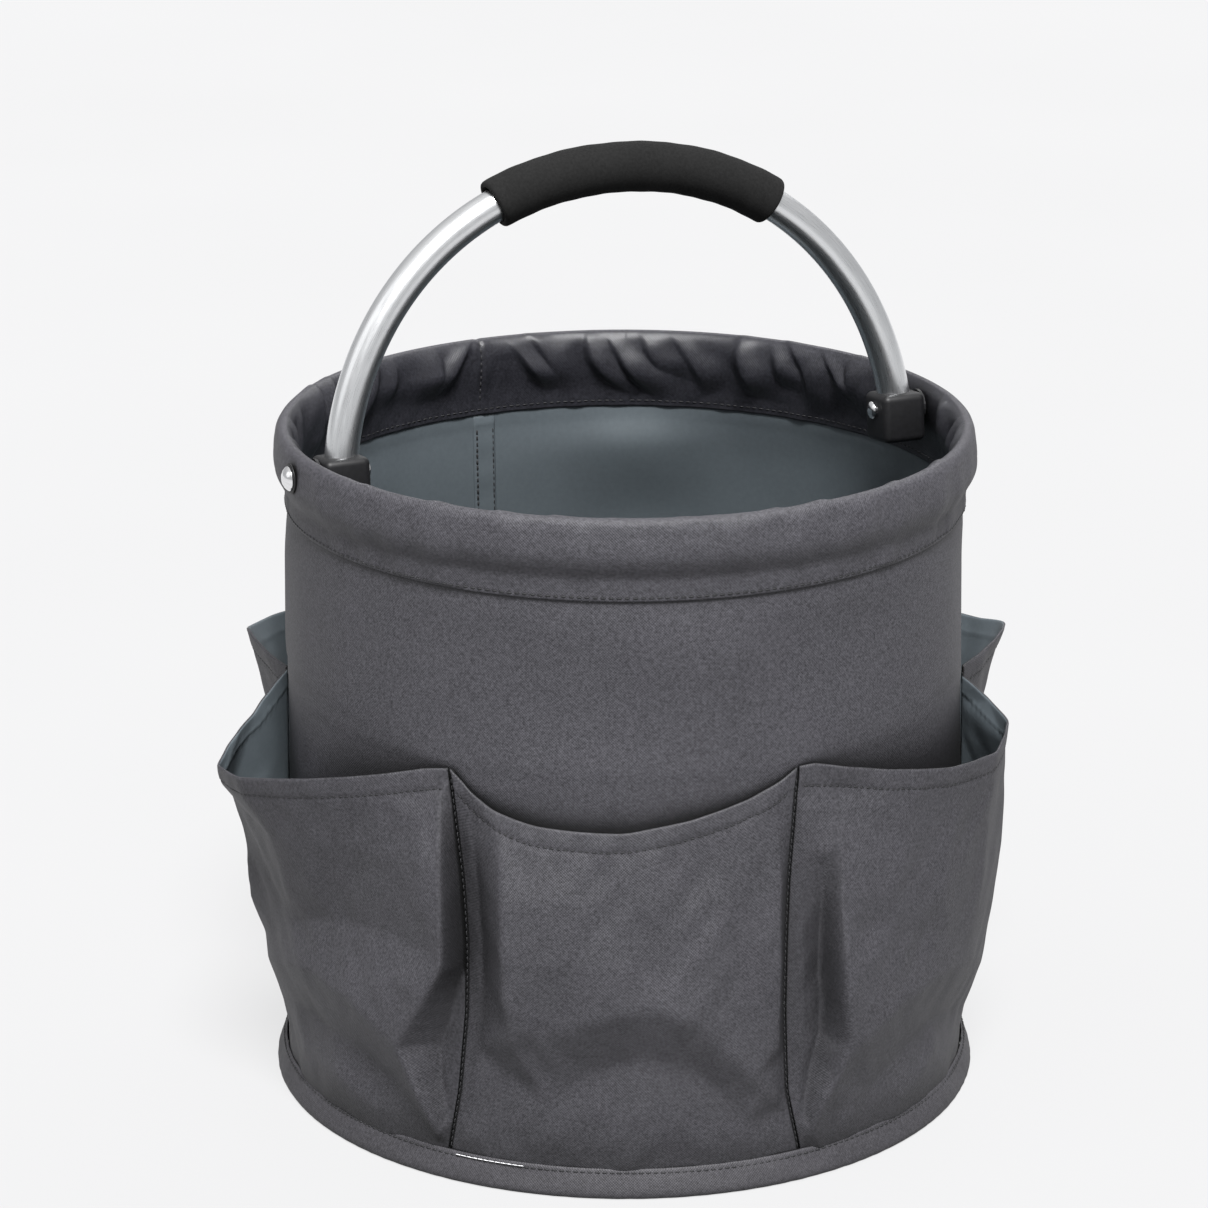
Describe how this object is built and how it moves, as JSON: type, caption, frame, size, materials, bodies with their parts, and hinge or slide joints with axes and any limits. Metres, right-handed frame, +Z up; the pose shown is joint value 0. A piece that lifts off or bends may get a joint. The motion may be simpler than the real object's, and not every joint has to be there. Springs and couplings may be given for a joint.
{
  "type": "tool bucket organizer",
  "caption": "Round fabric tool bucket with outer pockets, a rolled hoop rim and a swinging arched tube handle with a foam grip",
  "frame": {"origin": "centre of the round base, on the floor", "axes": "+Z up, the front pocket faces -Y, +X to the right of it"},
  "size_m": [0.3824, 0.3551, 0.459],
  "materials": {
    "coated_cloth": "charcoal coated polyester, plain weave",
    "binding_tape": "dark woven binding",
    "thread": "dark sewing thread",
    "black_plastic": "moulded black",
    "foam": "matt black foam",
    "tube_aluminium": "satin",
    "rivet_metal": "polished"
  },
  "bodies": {
    "bucket": {"base_panel": "coated_cloth", "base_board": "black_plastic", "base_binding": "binding_tape", "body_wall": "coated_cloth", "side_seam": "coated_cloth", "pocket_front": "coated_cloth", "pocket_front_right": "coated_cloth", "pocket_back_right": "coated_cloth", "pocket_back": "coated_cloth", "pocket_back_left": "coated_cloth", "pocket_front_left": "coated_cloth", "divider_seam_front_left": "thread", "divider_seam_front_right": "thread", "divider_seam_right": "thread", "divider_seam_back_right": "thread", "divider_seam_back_left": "thread", "divider_seam_left": "thread"},
    "rim": {"rim_hoop": "black_plastic", "rim_casing": "coated_cloth", "pivot_rivet_left": "rivet_metal", "outer_washer_left": "black_plastic", "pivot_spacer_left": "black_plastic", "rivet_burr_left": "rivet_metal", "pivot_rivet_right": "rivet_metal", "outer_washer_right": "black_plastic", "pivot_spacer_right": "black_plastic", "rivet_burr_right": "rivet_metal"},
    "handle": {"handle_tube": "tube_aluminium", "foam_grip": "foam", "handle_bracket_left": "black_plastic", "handle_bracket_right": "black_plastic"}
  },
  "joints": [
    {"name": "rim_collapse", "type": "slide", "parent": "bucket", "child": "rim", "axis": [0, 0, 1], "range_m": [-0.2, 0], "deforming": ["body_wall", "side_seam", "pocket_front", "pocket_front_right", "pocket_back_right", "pocket_back", "pocket_back_left", "pocket_front_left", "divider_seam_front_left", "divider_seam_front_right", "divider_seam_right", "divider_seam_back_right", "divider_seam_back_left", "divider_seam_left"]},
    {"name": "handle_swing", "type": "hinge", "parent": "rim", "child": "handle", "pos_m": [0, 0, 0.318], "axis": [0.9205, 0.3907, 0], "range_deg": [-83, 97]}
  ]
}
